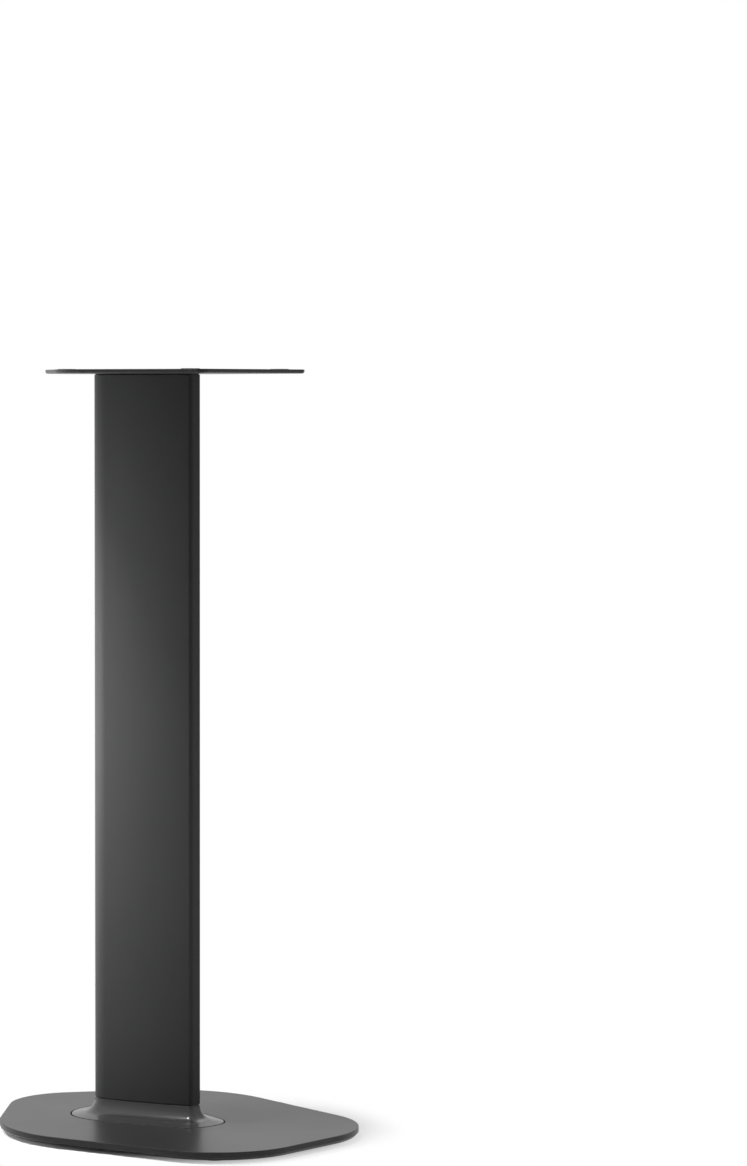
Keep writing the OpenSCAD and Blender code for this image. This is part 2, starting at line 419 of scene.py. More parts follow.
class Group(Nodes):
    """A node group with named inputs and outputs."""

    def __init__(
        self, name: str, kind: str, inputs: dict[str, str], outputs: dict[str, str]
    ) -> None:
        """Make the group and its ends.

        Args:
            name: the group's name.
            kind: the tree's type.
            inputs: types of the inputs, by name.
            outputs: types of the outputs, by name.
        """
        super().__init__(bpy.data.node_groups.new(name, kind))
        for side, ends in (("INPUT", inputs), ("OUTPUT", outputs)):
            for label, end in ends.items():
                sort = "NodeSocket" + end
                self.tree.interface.new_socket(label, in_out=side, socket_type=sort)
        self.inputs = self.tree.nodes.new("NodeGroupInput").outputs
        self.results = self.tree.nodes.new("NodeGroupOutput").inputs

    def give(self, name: str, socket: Socket) -> None:
        """Send a socket to one of the group's outputs."""
        self.tree.links.new(socket, self.results[name])


class Builder(Group):
    """A Geometry Nodes tree that makes pieces."""

    def __init__(self, name: str, **sizes: str) -> None:
        """Make the tree, with types of its further inputs by name."""
        inputs = {"Geometry": "Geometry", "Finish": "Material"}
        inputs |= {label.title(): kind for label, kind in sizes.items()}
        super().__init__(name, "GeometryNodeTree", inputs, {"Geometry": "Geometry"})

    def close(self, geometry: Socket) -> None:
        """End the tree: make instances real and give them their finish.

        Args:
            geometry: what the tree has made.
        """
        real = self.out("GeometryNodeRealizeInstances", {"Geometry": geometry})
        inputs = {"Geometry": real, "Material": self.inputs["Finish"]}
        self.give("Geometry", self.out("GeometryNodeSetMaterial", inputs))

    def tube(self, count: Socket, bands: object) -> tuple[Socket, Sockets, Socket]:
        """Start from a cylinder whose points are set later, ring by ring.

        Args:
            count: how many points a ring has.
            bands: how many bands of faces there are between the rings.

        Returns:
            The mesh, its points' coordinates, and the number of each point's ring.
        """
        inputs = {"Vertices": count, "Side Segments": bands, "Radius": 1.0, "Depth": 1.0}
        mesh = self.add("GeometryNodeMeshCylinder", inputs, fill_type="NGON").outputs["Mesh"]
        spot = self.out("GeometryNodeInputPosition")
        place = self.add("ShaderNodeSeparateXYZ", {0: spot}).outputs
        return mesh, place, self.calc("ROUND", self.times(self.plus(place["Z"], 0.5), bands))


def flare_tree() -> Builder:
    """Make the tree of the collar: a rim, a slope and a concave flare round a rail.

    Returns:
        The tree. Its geometry is the rail, whose points have the attribute "outward".
    """
    sizes = ("spread", "bottom", "top", "radius", "turn", "edge")
    tree = Builder("collar_flare", rings="Int", **dict.fromkeys(sizes, "Float"))
    take, plus, minus, times = tree.inputs, tree.plus, tree.minus, tree.times
    rail, top, edge, wide = (take[k] for k in ("Geometry", "Top", "Edge", "Spread"))
    count = tree.add("GeometryNodeAttributeDomainSize", {"Geometry": rail}).outputs["Point Count"]
    tube, _, ring = tree.tube(count, take["Rings"])
    flare_start = 5.0
    last = minus(take["Rings"], 1.0)
    done = tree.calc("DIVIDE", minus(ring, flare_start), minus(last, flare_start), clamp=True)
    angle = times(take["Turn"], minus(1.0, done))

    def arc(turn: Socket) -> tuple[Socket, Socket]:
        """Find growth and height on the flare, at an angle from upright."""
        grow = times(take["Radius"], minus(1.0, tree.calc("COSINE", turn)))
        return grow, minus(top, times(take["Radius"], tree.calc("SINE", turn)))

    foot_grow, foot_z = arc(take["Turn"])
    steep = tree.calc("TANGENT", take["Turn"])

    def slope(grow: Socket) -> Socket:
        """Find the height on the straight slope below the flare, at a growth."""
        return minus(foot_z, tree.calc("DIVIDE", minus(grow, foot_grow), steep))

    inner, further = minus(wide, edge), minus(wide, times(edge, 4.0))
    here_grow, here_z = arc(angle)
    steps = [
        (inner, take["Bottom"]),
        (wide, plus(take["Bottom"], edge)),
        (wide, minus(slope(wide), edge)),
        (inner, slope(inner)),
        (further, slope(further)),
        (here_grow, tree.calc("MINIMUM", here_z, minus(top, edge))),
        (times(edge, -1.0), top),
    ]
    at_end = tree.calc("GREATER_THAN", ring, last)
    number = plus(tree.calc("MINIMUM", ring, flare_start), at_end)
    rule = tree.add("GeometryNodeIndexSwitch", data_type="VECTOR")
    while len(rule.index_switch_items) < len(steps):
        rule.index_switch_items.new()
    tree.tree.links.new(number, rule.inputs["Index"])
    for k, (grow, z) in enumerate(steps):
        pair = tree.out("ShaderNodeCombineXYZ", {"X": grow, "Z": z})
        tree.tree.links.new(pair, rule.inputs[str(k)])
    move = tree.add("ShaderNodeSeparateXYZ", {0: rule.outputs[0]}).outputs
    index = tree.calc("FLOORED_MODULO", tree.out("GeometryNodeInputIndex"), count)

    vectors = {"data_type": "FLOAT_VECTOR"}

    def sample(value: Socket) -> Socket:
        """Read a value at the rail's point that a tube's point belongs to."""
        inputs = {"Geometry": rail, "Value": value, "Index": index}
        return tree.out("GeometryNodeSampleIndex", inputs, **vectors)

    base = sample(tree.out("GeometryNodeInputPosition"))
    way = sample(tree.out("GeometryNodeInputNamedAttribute", {"Name": "outward"}, **vectors))
    flat = tree.out("ShaderNodeVectorMath", {0: way, "Scale": move["X"]}, operation="SCALE")
    lift = tree.out("ShaderNodeCombineXYZ", {"Z": move["Z"]})
    there = tree.vector("ADD", tree.vector("ADD", base, flat), lift)
    tree.close(tree.out("GeometryNodeSetPosition", {"Geometry": tube, "Position": there}))
    return tree


def ring_tree() -> Builder:
    """Make the tree of a gasket ring: a rounded strip along a level rail.

    Returns:
        The tree. Its geometry is the rail, along the strip's middle.
    """
    tree = Builder("gasket_ring", width="Float", thickness="Float", corner="Float")
    take = tree.inputs
    rail = tree.out("GeometryNodeMeshToCurve", {"Mesh": take["Geometry"]})
    level = tree.out("GeometryNodeSetCurveNormal", {"Curve": rail}, mode="Z_UP")
    sides = {"Width": take["Thickness"], "Height": take["Width"]}
    strip = tree.out("GeometryNodeCurvePrimitiveQuadrilateral", sides)
    inputs = {"Curve": strip, "Radius": take["Corner"], "Count": 3, "Limit Radius": True}
    soft = tree.out("GeometryNodeFilletCurve", inputs, mode="POLY")
    sweep = {"Curve": level, "Profile Curve": soft}
    tree.close(tree.out("GeometryNodeCurveToMesh", sweep))
    return tree


def grommet_tree() -> Builder:
    """Make the tree of a cable grommet: a channel section round an upright slot.

    Returns:
        The tree. Its geometry is the section, a closed ring of edges.
    """
    tree = Builder("cable_grommet", width="Float", height="Float", centre="Vector")
    take = tree.inputs
    sides = {"Width": take["Width"], "Height": take["Height"]}
    slot = tree.out("GeometryNodeCurvePrimitiveQuadrilateral", sides)
    just_half = 0.4999
    inputs = {"Curve": slot, "Radius": tree.times(take["Width"], just_half), "Count": 16}
    oval = tree.out("GeometryNodeFilletCurve", inputs, mode="POLY")
    inputs = {"Geometry": oval, "Translation": take["Centre"], "Rotation": (math.pi / 2, 0, 0)}
    inputs = {"Curve": tree.out("GeometryNodeTransform", inputs), "Normal": (0, 1, 0)}
    free = tree.out("GeometryNodeSetCurveNormal", inputs, mode="FREE")
    section = tree.out("GeometryNodeMeshToCurve", {"Mesh": take["Geometry"]})
    sweep = {"Curve": free, "Profile Curve": section}
    tree.close(tree.out("GeometryNodeCurveToMesh", sweep))
    return tree


def copies_tree() -> Builder:
    """Make the tree that sets one turned piece on each of several points.

    Returns:
        The tree. Its geometry is the points.
    """
    tree = Builder("set_out", piece="Object")
    info = tree.add("GeometryNodeObjectInfo", {"Object": tree.inputs["Piece"]})
    inputs = {"Points": tree.inputs["Geometry"], "Instance": info.outputs["Geometry"]}
    tree.close(tree.out("GeometryNodeInstanceOnPoints", inputs))
    return tree


def knurl_tree() -> Builder:
    """Make the tree of a knurled disc: a short bevelled cylinder with upright grooves.

    Returns:
        The tree. It needs no geometry.
    """
    sizes = ("radius", "thickness", "edge", "groove")
    tree = Builder("knurled_disc", knurls="Int", centre="Vector", **dict.fromkeys(sizes, "Float"))
    take, minus, times = tree.inputs, tree.minus, tree.times
    per_knurl, bands, middle, sharpness = 8.0, 3, 1.5, 6.0
    disc, place, ring = tree.tube(times(take["Knurls"], per_knurl), bands)
    outer = tree.calc("LESS_THAN", tree.calc("ABSOLUTE", minus(ring, middle)), 1.0)
    angle = tree.calc("ARCTAN2", place["Y"], place["X"])
    beat = tree.calc("COSINE", times(angle, tree.calc("DIVIDE", take["Knurls"], 2.0)))
    cut = times(tree.calc("POWER", tree.calc("ABSOLUTE", beat), sharpness), take["Groove"])
    inset = times(minus(1.0, outer), take["Edge"])
    reach = minus(minus(take["Radius"], cut), inset)
    upper = tree.calc("GREATER_THAN", ring, middle)
    side = minus(times(upper, -2.0), -1.0)
    bevel = times(times(outer, take["Edge"]), side)
    height = tree.plus(times(upper, take["Thickness"]), bevel)
    x, y = (times(tree.calc(wave, angle), reach) for wave in ("COSINE", "SINE"))
    made = tree.out("ShaderNodeCombineXYZ", {"X": x, "Y": y, "Z": height})
    there = {"Geometry": disc, "Position": tree.vector("ADD", made, take["Centre"])}
    tree.close(tree.out("GeometryNodeSetPosition", there))
    return tree


# Finishes


def noise(group: Group, vector: Socket, scale: str, **inputs: float) -> Socket:
    """Add a noise to a group, at the scale that one of its inputs gives."""
    inputs = {"Vector": vector, "Scale": group.inputs[scale], **inputs}
    return group.add("ShaderNodeTexNoise", inputs).outputs["Fac"]


def coat_group() -> Group:
    """Make the shader group of a sprayed coat.

    Returns:
        The group. Its height is fine orange peel, and its mask a broad, faint cloud.
    """
    inputs = {"Vector": "Vector", "Peel": "Float", "Cloud": "Float"}
    group = Group("sprayed_coat", "ShaderNodeTree", inputs, {"Height": "Float", "Mask": "Float"})
    where = group.inputs["Vector"]
    group.give("Height", noise(group, where, "Peel", Detail=2.0))
    group.give("Mask", noise(group, where, "Cloud", Detail=3.0))
    return group


def lines_group() -> Group:
    """Make the shader group of drawn or brushed lines.

    Returns:
        The group. Its lines follow the stretched axis.
    """
    inputs = {"Vector": "Vector", "Stretch": "Vector", "Scale": "Float"}
    group = Group("drawn_lines", "ShaderNodeTree", inputs, {"Lines": "Float"})
    pulled = group.vector("MULTIPLY", group.inputs["Vector"], group.inputs["Stretch"])
    group.give("Lines", noise(group, pulled, "Scale", Detail=3.0, Roughness=0.6))
    return group


@dataclass(frozen=True)
class Finish:
    """A finish whose colour, gloss and surface vary a little over the piece."""

    name: str
    slot: str
    color: Triple
    roughness: float
    metallic: float = 0.0
    specular: float = 0.5
    peel: float = 900.0
    cloud: float = 9.0
    vary: float = 0.06
    gloss_vary: float = 0.04
    depth: float = 0.00002
    bump: float = 0.25
    stretch: Triple = (1.0, 1.0, 1.0)
    lines: float = 0.0
    line_scale: float = 300.0
    line_height: float = 4.0

    def material(self, coats: Group, lines: Group) -> bpy.types.Material:
        """Build the material.

        Args:
            coats: the shared group of a sprayed coat.
            lines: the shared group of drawn lines.

        Returns:
            The material.
        """
        made = bpy.data.materials.new(self.name)
        nodes = Nodes.fresh(made)
        where = nodes.add("ShaderNodeTexCoord").outputs["Object"]
        coat = nodes.use(coats, Vector=where, Peel=self.peel, Cloud=self.cloud)
        drawn = nodes.use(lines, Vector=where, Stretch=self.stretch, Scale=self.line_scale)
        streak = nodes.times(nodes.minus(drawn["Lines"], 0.5), self.lines)
        swing = nodes.times(nodes.minus(coat["Mask"], 0.5), 2.0)
        level = nodes.plus(nodes.calc("MULTIPLY_ADD", swing, self.vary, 1.0), streak)
        grey = nodes.out("ShaderNodeCombineColor", dict.fromkeys(range(3), level))
        inputs = {"Factor": 1.0, 6: (*self.color, 1.0), 7: grey}
        mix = nodes.add("ShaderNodeMix", inputs, data_type="RGBA", blend_type="MULTIPLY")
        gloss = nodes.calc("MULTIPLY_ADD", swing, self.gloss_vary, self.roughness)
        height = nodes.plus(coat["Height"], nodes.times(streak, self.line_height))
        inputs = {"Height": height, "Strength": self.bump, "Distance": self.depth}
        bump = nodes.out("ShaderNodeBump", inputs)
        inputs = {
            "Base Color": mix.outputs[2], "Roughness": nodes.plus(gloss, streak),
            "Metallic": self.metallic, "Specular IOR Level": self.specular, "Normal": bump,
        }
        shader = nodes.out("ShaderNodeBsdfPrincipled", inputs)
        nodes.add("ShaderNodeOutputMaterial", {"Surface": shader})
        return made


class Look(Enum):
    """The stand's finishes."""

    PLATE = Finish(
        "graphite_plate_coat", "plate_coating", (0.022, 0.022, 0.0225), 0.35, specular=0.2,
    )
    COLLAR = Finish(
        "graphite_collar_coat", "collar_coating", (0.028, 0.028, 0.0283), 0.24, specular=0.38,
    )
    COLUMN = Finish(
        "graphite_column_coat", "column_coating", (0.045, 0.045, 0.0457), 0.38, specular=0.04,
        stretch=(1.0, 1.0, 0.01), lines=0.05, line_scale=420.0,
    )
    RUBBER = Finish("black_rubber", "rubber", (0.02, 0.02, 0.021), 0.62, peel=1600.0, bump=0.5)
    PAD = Finish(
        "soft_pad", "soft_pad", (0.03, 0.03, 0.031), 0.8, peel=2200.0, bump=0.7, depth=0.00006,
    )
    ZINC = Finish(
        "zinc_plate", "screw_steel", (0.42, 0.42, 0.43), 0.33, 1.0, cloud=160.0, vary=0.12,
        gloss_vary=0.09, stretch=(1.0, 1.0, 6.0), lines=0.05, line_scale=900.0,
    )
    OXIDE = Finish(
        "black_oxide", "foot_steel", (0.035, 0.035, 0.037), 0.42, 0.9, cloud=200.0, vary=0.15,
    )
    STUD = Finish(
        "zinc_thread", "stud_steel", (0.5, 0.5, 0.51), 0.3, 1.0, cloud=200.0, vary=0.12,
        gloss_vary=0.08,
    )


class Workshop:
    """What every piece needs: the node trees and the finished materials."""

    def __init__(self) -> None:
        """Build the trees and materials."""
        groups = coat_group(), lines_group()
        self.flare, self.ring, self.grommet = flare_tree(), ring_tree(), grommet_tree()
        self.copies, self.knurl = copies_tree(), knurl_tree()
        self.coats = {look: look.value.material(*groups) for look in Look}

    def run(self, builder: Builder, obj: Thing, look: Look, **sizes: object) -> Thing:
        """Run a tree on an object and keep the result as its plain mesh.

        Args:
            builder: the tree.
            obj: the object, with the geometry that the tree starts from.
            look: its finish.
            **sizes: values of the tree's further inputs.

        Returns:
            The same object.
        """
        modifier = obj.modifiers.new(builder.tree.name, "NODES")
        modifier.node_group = builder.tree
        keys = {
            item.name: item.identifier
            for item in builder.tree.interface.items_tree
            if item.item_type == "SOCKET" and item.in_out == "INPUT"
        }
        for label, value in {"finish": self.coats[look], **sizes}.items():
            modifier[keys[label.title()]] = value
        return smooth(evaluate(obj))

    def set_out(self, pattern: Thing, name: str, points: Sequence[Vector], look: Look) -> Thing:
        """Set copies of a pattern, which is used up, on points.

        Args:
            pattern: the pattern.
            name: the name of the copies.
            points: where they go, in millimetres.
            look: their finish.

        Returns:
            The copies, as one object.
        """
        made = self.run(self.copies, path_object(name, points, False), look, piece=pattern)
        remove(pattern)
        return made

    def dress(self, obj: Thing, look: Look, body: str, *nodes: str) -> None:
        """Give a piece its finish, set it on its body and let it stand for its nodes.

        Args:
            obj: the piece.
            look: its finish.
            body: the CAD body that it rides on.
            *nodes: the CAD nodes that it stands for.
        """
        obj.data.materials.clear()
        obj.data.materials.append(self.coats[look])
        for polygon in obj.data.polygons:
            polygon.material_index = 0
        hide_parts(*nodes)
        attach(obj, body)
        LOG.info("%s: %d faces, %s, on %s", obj.name, len(obj.data.polygons), look.value.name, body)


# Sub-assemblies


@dataclass(frozen=True)
class Part:
    """A sub-assembly, which is made in the workshop."""

    shop: Workshop


@dataclass(frozen=True)
class Column(Part):
    """The hollow extruded column, narrow in front, with its grommets and gaskets."""

    low: float = 28.5
    high: float = 740.0
    width: float = 66.5
    depth: float = 116.0
    back: float = 77.0
    flat: float = 24.0
    nose_w: float = 16.6
    nose_r: float = 4.5
    crown_r: float = 520.0
    edge_r: float = 0.3
    wall: float = 2.5
    web: float = 2.0
    duct_share: float = 0.52
    bore_r: float = 3.05
    port_w: float = 19.0
    port_h: float = 40.0
    port_z: Pair = (90.5, 689.0)
    gasket: float = 1.0

    @property
    def nose_y(self) -> float:
        """The nose's place."""
        return self.back - self.depth

    @property
    def rear_r(self) -> float:
        """The radius of the two rear corners."""
        return (self.width - self.flat) / 2

    @property
    def boss_r(self) -> float:
        """The outer radius of the screw ports."""
        return self.bore_r + self.wall

    @property
    def inset(self) -> float:
        """How far the ports' middles lie inside the column."""
        return self.wall / 2 + self.boss_r

    @property
    def ports(self) -> list[Pair]:
        """The places of the three screw ports."""
        x, y = self.width / 2 - self.inset, self.back - self.rear_r
        return [(x, y), (-x, y), (0.0, self.nose_y + self.inset)]

    def outline(self, grow: float = 0.0) -> Outline:
        """Find the column's outline, whose sides are large arcs from the nose to the rear.

        Args:
            grow: how much larger it is all round.

        Returns:
            The outline.
        """
        nose_x, nose_y = self.nose_w / 2 - self.nose_r, self.nose_y + self.nose_r
        rear_x, rear_y = self.flat / 2, self.back - self.rear_r
        to_nose, to_rear = self.crown_r - self.nose_r, self.crown_r - self.rear_r
        side = Vector((rear_x - nose_x, rear_y - nose_y))
        along = (to_nose ** 2 - to_rear ** 2 + side.length_squared) / (2 * side.length)
        inward = math.sqrt(to_nose ** 2 - along ** 2)
        way = side.normalized()
        crown_x = nose_x + way.x * along - way.y * inward
        crown_y = nose_y + way.y * along + way.x * inward
        return Outline(mirrored(
            Arc(nose_x, nose_y, self.nose_r + grow),
            Arc(crown_x, crown_y, self.crown_r + grow),
            Arc(rear_x, rear_y, self.rear_r + grow),
        ))

    def chambers(self, low: float, high: float, clear: float = 0.0) -> Thing:
        """Make the solid that fills the duct and the front chamber.

        Args:
            low: its lower end.
            high: its upper end.
            clear: how far it is drawn in from every wall.

        Returns:
            The solid.
        """
        core = self.outline(-self.wall - clear)
        fill = skin("chambers", core.rings([(0, low), (0, high)]))
        web_y = self.back - self.duct_share * self.depth
        half, aside = self.web / 2 + clear, 60.0
        cuts = drills(self.boss_r + clear, low - PAST, high + PAST, self.ports)
        walls = (
            (web_y - half, web_y + half),
            (self.nose_y - PAST, self.nose_y + self.inset + clear),
        )
        for front, rear in walls:
            cuts.append(block((-aside, front, low - PAST), (aside, rear, high + PAST)))
        return carve(fill, cuts)

    def slot(self, z: float) -> Thing:
        """Make the cutter of a cable port.

        Args:
            z: the height of its middle.

        Returns:
            The cutter.
        """
        r, rise, half = self.port_w / 2, (self.port_h - self.port_w) / 2, 6.0
        oval = Outline((Arc(0, rise, r), Arc(0, -rise, r)), 6.0)
        cutter = skin("cutter", oval.rings([(0, -half), (0, half)]))
        turn = Matrix.Rotation(math.pi / 2, 4, "X")
        cutter.data.transform(Matrix.Translation(Vector((0, self.back - 1, z)) * MM) @ turn)
        return cutter

    def build(self) -> None:
        """Build and dress the column."""
        low, high, inward = self.low, self.high, -1.1
        edge = [(inward, low, 0), (0, low, self.edge_r), (0, high, self.edge_r), (inward, high, 0)]
        body = skin("extruded_column", self.outline().rings(rounded(edge, hold=0.5, steps=3)))
        cuts = [self.chambers(low - PAST, high + PAST)]
        cuts += drills(self.bore_r, low - PAST, high + PAST, self.ports, 48)
        cuts += [self.slot(z) for z in self.port_z]
        self.shop.dress(smooth(carve(body, cuts)), Look.COLUMN, "root", "column")

    def build_gaskets(self) -> None:
        """Build and dress the gaskets at the column's two ends."""
        inner, outer, thickness = -self.wall, -0.5, self.gasket
        rail = self.outline((inner + outer) / 2).rail()
        for name, node, low in (
            ("lower_joint_gasket", "column_gasket", self.low - thickness),
            ("upper_joint_gasket", "top_gasket", self.high),
        ):
            middle = Vector((0, 0, low + thickness / 2))
            ring = path_object(name, [p + middle for p, _ in rail])
            self.shop.run(
                self.shop.ring, ring, Look.RUBBER,
                width=(outer - inner) * MM, thickness=thickness * MM, corner=0.25 * thickness * MM,
            )
            self.shop.dress(ring, Look.RUBBER, "root", node)

    def build_grommets(self) -> None:
        """Build and dress the rubber grommets of the two cable ports."""
        groove, lip, lip_w, inner = (self.wall + 0.2) / 2, 1.5, 2.4, 2.0
        face = groove + lip
        half = [
            (-inner, 0.9 * face, 0), (-inner, face, 0.6), (lip_w, face, 0.7),
            (lip_w, groove, 0.25), (-0.25, groove, 0),
        ]
        upper = [Vector((y, x, 0)) for x, y in rounded(half, hold=0.1, steps=4)]
        section = upper + [Vector((-p.x, p.y, 0)) for p in upper[::-1]]
        for end, z in zip(("lower", "upper"), self.port_z):
            ring = path_object(end + "_cable_grommet", section)
            self.shop.run(
                self.shop.grommet, ring, Look.RUBBER, width=self.port_w * MM,
                height=self.port_h * MM, centre=Vector((0, self.back - self.wall / 2, z)) * MM,
            )
            self.shop.dress(ring, Look.RUBBER, "root", end + "_grommet")


@dataclass(frozen=True)
class Screws(Part):
    """Countersunk screws with hexagon sockets, one in each of the column's ports."""

    column: Column
    name: str
    node: str
    face: float
    down: bool
    r: float = 3.0
    head_r: float = 6.0
    pitch: float = 1.0
    thread_depth: float = 0.32
    bite: float = 18.0
    point: float = 0.6
    drive_r: float = 2.63
    drive_depth: float = 2.4

    def one(self) -> Thing:
        """Make one screw, with its head's face at the origin.

        Returns:
            The screw.
        """
        r, head_r, drive_r, deep = self.r, self.head_r, self.drive_r, self.drive_depth
        if self.down:
            length = self.face - self.column.high + self.bite
        else:
            length = self.column.low + self.bite - self.face
        thread = Thread(self.pitch, self.thread_depth, length - self.bite, length - self.point)
        profile = [(head_r - 0.9, 0), (head_r - 0.15, 0.06), (head_r, 0.22)]
        profile += [(r + 0.12, r), (r, r + 0.25), (r, thread.start - 0.1)]
        profile += [(r, z) for z in thread.levels()] + [(r - self.point, length)]
        screw = skin("screw", turned(profile, 40, thread))
        hexagon = turned([(drive_r, -1), (drive_r, deep), (1.2, deep + 0.5)], 6)
        carve(smooth(screw), [smooth(skin("cutter", hexagon))])
        if self.down:
            screw.data.transform(Matrix.Rotation(math.pi, 4, "X"))
        return smooth(screw)

    def build(self) -> None:
        """Set a screw in each port and dress them."""
        heads = [Vector((x, y, self.face)) for x, y in self.column.ports]
        made = self.shop.set_out(self.one(), self.name, heads, Look.ZINC)
        self.shop.dress(made, Look.ZINC, "root", self.node)


@dataclass(frozen=True)
class Collar(Part):
    """The flared collar that carries the column, and the gasket under it."""

    column: Column
    bottom: float = 8.0
    top: float = 27.5
    spread: float = 23.3
    flare_r: float = 14.6
    flare_turn: float = 80.0
    spigot: float = 10.0
    edge: float = 0.25

    def build(self) -> None:
        """Build and dress the collar."""
        rail = self.column.outline().rail()
        piece = path_object("flared_collar", [p for p, _ in rail])
        outward = piece.data.attributes.new("outward", "FLOAT_VECTOR", "POINT")
        outward.data.foreach_set("vector", [c for _, out in rail for c in out])
        self.shop.run(
            self.shop.flare, piece, Look.COLLAR, rings=30,
            spread=self.spread * MM, bottom=self.bottom * MM, top=self.top * MM,
            radius=self.flare_r * MM, turn=math.radians(self.flare_turn), edge=self.edge * MM,
        )
        end = self.top + self.spigot
        carve(piece, [self.column.chambers(self.top - 1, end, self.edge)], join=True)
        carve(piece, drills(PASS_R, self.bottom - PAST, end + PAST, self.column.ports))
        self.shop.dress(smooth(piece), Look.COLLAR, "root", "collar")

    def build_gasket(self) -> None:
        """Build and dress the gasket under the collar."""
        high, outer, r = self.bottom, self.spread - 0.5, 0.25
        low = high - self.column.gasket
        section = [(outer - 2, low, 0), (outer, low, r), (outer, high, r), (outer - 2, high, 0)]
        rings = self.column.outline().rings(rounded(section, hold=0.2, steps=3))
        piece = skin("collar_seat_gasket", rings)
        carve(piece, drills(PASS_R, low - PAST, high + PAST, self.column.ports))
        self.shop.dress(smooth(piece), Look.RUBBER, "root", "collar_gasket")


@dataclass(frozen=True)
class Foot(Part):
    """A levelling foot: a knurled disc on a stud, over a soft sole."""

    name: str
    place: Pair
    radius: float = 14.0
    sole_t: float = 1.2
    slack: float = 0.1
    play: float = 0.05
    disc_t: float = 2.79
    pin_r: float = 3.08
    pin_share: float = 0.36
    seat_share: float = 0.4
    stud_r: float = 3.95
    stud_end: float = 9.39
    pitch: float = 1.25
    thread_depth: float = 0.45
    point: float = 0.7
    knurls: int = 36
    groove: float = 0.25
    edge: float = 0.3
    recess: float = 4.29
    recess_room: float = 1.5
    ribs: Triple = (3.2, 6.2, 9.2)

    @property
    def at(self) -> Vector:
        """The foot's place on the floor."""
        return Vector((*self.place, 0))

    @property
    def low(self) -> float:
        """The height of the disc's underside."""
        return self.sole_t + self.slack

    @property
    def seat(self) -> float:
        """The height of the stud's seat in the disc."""
        return self.low + self.disc_t * (1 - self.seat_share)

    def disc(self) -> Thing:
        """Make the knurled disc.

        Returns:
            The disc.
        """
        low, high, place = self.low, self.low + self.disc_t, [self.place]
        hollow = low + self.pin_share * self.disc_t
        piece = path_object("levelling_disc_" + self.name, [Vector()], closed=False)
        self.shop.run(
            self.shop.knurl, piece, Look.OXIDE, knurls=self.knurls,
            centre=(self.at + Vector((0, 0, low))) * MM, radius=self.radius * MM,
            thickness=self.disc_t * MM, edge=self.edge * MM, groove=self.groove * MM,
        )
        cuts = drills(self.pin_r + self.play, low - 1, hollow, place, 48)
        cuts += drills(self.stud_r + self.play, self.seat, high + 1, place, 48)
        return smooth(carve(piece, cuts))

    def stud(self) -> Thing:
        """Make the threaded stud.

        Returns:
            The stud.
        """
        r, end = self.stud_r, self.stud_end
        thread = Thread(self.pitch, self.thread_depth, self.seat + 1.3, end - 0.2)
        profile = [(r, self.seat), (r, thread.start - 0.05)]
        profile += [(r, z) for z in thread.levels()] + [(r - self.point, end)]
        return smooth(skin("levelling_stud_" + self.name, turned(profile, 72, thread), self.at))

    def sole(self) -> Thing:
        """Make the ribbed soft sole with its pin.

        Returns:
            The sole.
        """
        rim, face, pin, profile = self.radius - self.slack, self.sole_t, self.pin_r, [(2.0, 0.0)]
        for r in self.ribs:
            profile += [(r, 0.0), (r + 0.2, 0.3), (r + 1.2, 0.3), (r + 1.4, 0.0)]
        profile += [(rim - 0.35, 0.0), (rim - 0.1, 0.1), (rim, 0.35), (rim, face - 0.2)]
        profile += [(rim - 0.2, face), (pin + 0.2, face), (pin, face + 0.05)]
        top = face + self.pin_share * self.disc_t
        profile += [(pin, top - 0.2), (pin - 0.2, top)]
        return smooth(skin("soft_sole_" + self.name, turned(profile, 72), self.at))

    def build(self) -> None:
        """Build and dress the foot."""
        dress, name = self.shop.dress, self.name
        dress(self.disc(), Look.OXIDE, "foot_" + name, "foot_disc_" + name)
        dress(self.stud(), Look.STUD, "foot_" + name, "foot_stud_" + name)
        dress(self.sole(), Look.RUBBER, "sole_" + name, "foot_sole_" + name)


